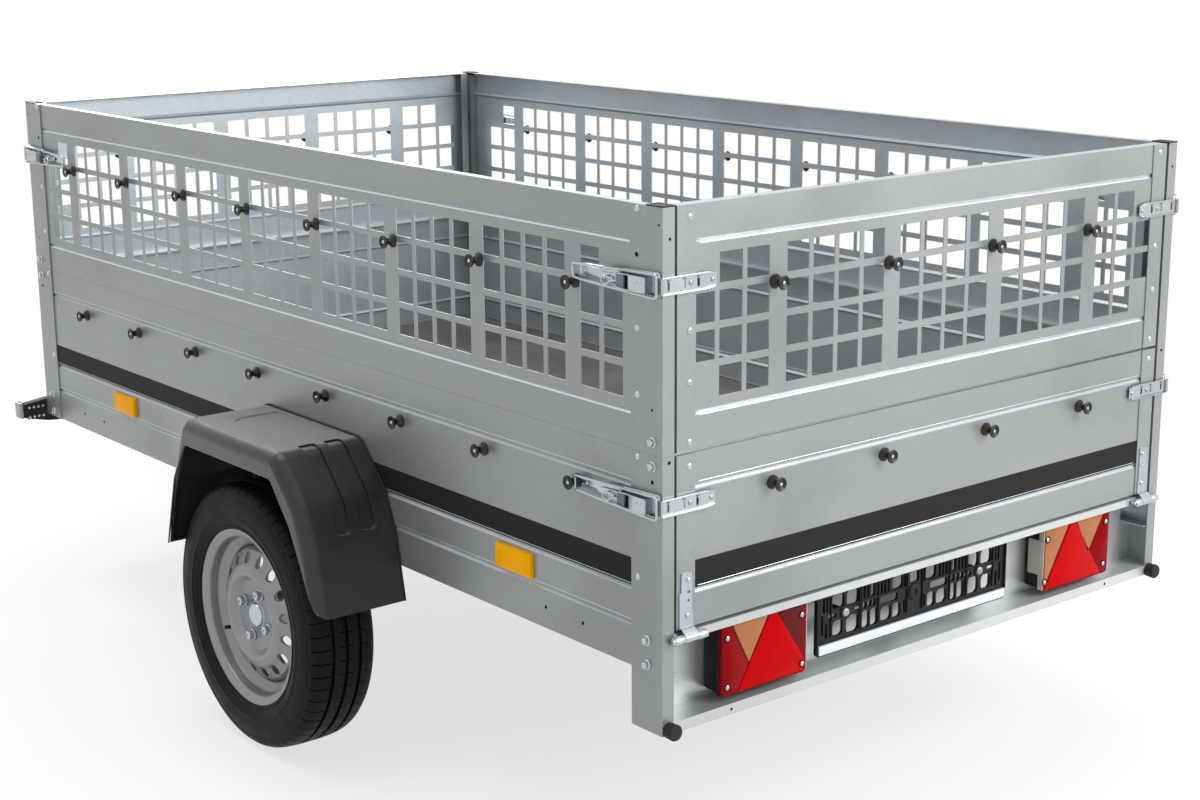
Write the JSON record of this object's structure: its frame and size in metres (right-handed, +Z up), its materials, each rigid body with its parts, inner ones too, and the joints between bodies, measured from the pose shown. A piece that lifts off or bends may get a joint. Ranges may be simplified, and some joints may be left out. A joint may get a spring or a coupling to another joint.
{
  "type": "utility trailer",
  "caption": "Single-axle box trailer of zinc-coated sheet with a mesh extension, hinged tailgate, lift-out mesh ends, plastic fenders, drawbar with ball coupling and jockey wheel.",
  "frame": {"origin": "ground level under the middle of the whole length, on the centre plane", "axes": "+X to the right side, +Y forward towards the coupling, +Z up"},
  "size_m": [1.706, 3.303, 1.1985],
  "materials": {
    "galvanised": "hot-dip zinc coated sheet, matt",
    "zinc_bright": "bright zinc plate",
    "black_plastic": "moulded, matt black",
    "fender_plastic": "moulded, satin dark grey",
    "floor_ply": "film-faced plywood, dark brown",
    "lens_red": "clear red lens",
    "lens_orange": "orange prismatic reflector",
    "lens_white": "clear lens",
    "rim_steel": "silver lacquer",
    "hub_steel": "machined",
    "tyre_rubber": "dull black",
    "solid_rubber": "dull black",
    "handle_paint": "black powder coat"
  },
  "bodies": {
    "chassis": {"axle_beam": "galvanised", "corner_posts": "galvanised", "coupling": "zinc_bright", "coupling_handle": "handle_paint", "cross_rails": "galvanised", "drawbar": "galvanised", "extension_posts": "galvanised", "fender_left": "fender_plastic", "fender_right": "fender_plastic", "floor_deck": "floor_ply", "front_board": "galvanised", "front_hooks": "black_plastic", "front_latches": "zinc_bright", "gate_buffers": "solid_rubber", "hinge_seats": "zinc_bright", "jockey_clamp": "zinc_bright", "jockey_crank": "handle_paint", "jockey_tube": "zinc_bright", "lamp_bodies": "black_plastic", "lamp_lenses": "lens_red", "marker_arms": "solid_rubber", "marker_lenses": "lens_white", "mesh_side_hooks": "black_plastic", "mesh_side_left": "galvanised", "mesh_side_right": "galvanised", "plate_holder": "black_plastic", "post_caps": "black_plastic", "rear_crossmember": "galvanised", "rear_latches": "zinc_bright", "side_board_left": "galvanised", "side_board_right": "galvanised", "side_hooks": "black_plastic", "side_reflectors": "lens_orange", "swing_arms": "galvanised"},
    "tailgate": {"tailgate": "galvanised", "tailgate_ends": "galvanised", "tailgate_keepers": "zinc_bright", "tailgate_hooks": "black_plastic", "hinge_leaves": "zinc_bright"},
    "rear_mesh": {"mesh_gate": "galvanised", "mesh_gate_ends": "galvanised", "mesh_gate_keepers": "zinc_bright", "mesh_gate_hooks": "black_plastic"},
    "front_mesh": {"front_mesh": "galvanised", "front_mesh_ends": "galvanised", "front_mesh_keepers": "zinc_bright", "front_mesh_hooks": "black_plastic"},
    "wheel_left": {"rim_left": "rim_steel", "hub_left": "hub_steel", "tyre_left": "tyre_rubber"},
    "wheel_right": {"rim_right": "rim_steel", "hub_right": "hub_steel", "tyre_right": "tyre_rubber"},
    "jockey_leg": {"jockey_leg": "zinc_bright"},
    "jockey_fork": {"jockey_fork": "zinc_bright"},
    "jockey_wheel": {"jockey_wheel": "solid_rubber"}
  },
  "joints": [
    {"name": "tailgate_hinge", "type": "hinge", "parent": "chassis", "child": "tailgate", "pos_m": [0, -1.6405, 0.486], "axis": [1, 0, 0], "range_deg": [0, 175]},
    {"name": "rear_mesh_lift", "type": "slide", "parent": "chassis", "child": "rear_mesh", "axis": [0, 0, 1], "range_m": [0, 0.42]},
    {"name": "front_mesh_lift", "type": "slide", "parent": "chassis", "child": "front_mesh", "axis": [0, 0, 1], "range_m": [0, 0.42]},
    {"name": "wheel_left_spin", "type": "hinge", "parent": "chassis", "child": "wheel_left", "pos_m": [-0.759, -0.5515, 0.272], "axis": [1, 0, 0], "continuous": true},
    {"name": "wheel_right_spin", "type": "hinge", "parent": "chassis", "child": "wheel_right", "pos_m": [0.759, -0.5515, 0.272], "axis": [1, 0, 0], "continuous": true},
    {"name": "jockey_lift", "type": "slide", "parent": "chassis", "child": "jockey_leg", "axis": [0, 0, 1], "range_m": [-0.1, 0.1]},
    {"name": "jockey_swivel", "type": "hinge", "parent": "jockey_leg", "child": "jockey_fork", "pos_m": [0.073, 1.2815, 0.21], "axis": [0, 0, 1], "continuous": true},
    {"name": "jockey_wheel_spin", "type": "hinge", "parent": "jockey_fork", "child": "jockey_wheel", "pos_m": [0.073, 1.2535, 0.1], "axis": [1, 0, 0], "continuous": true}
  ]
}
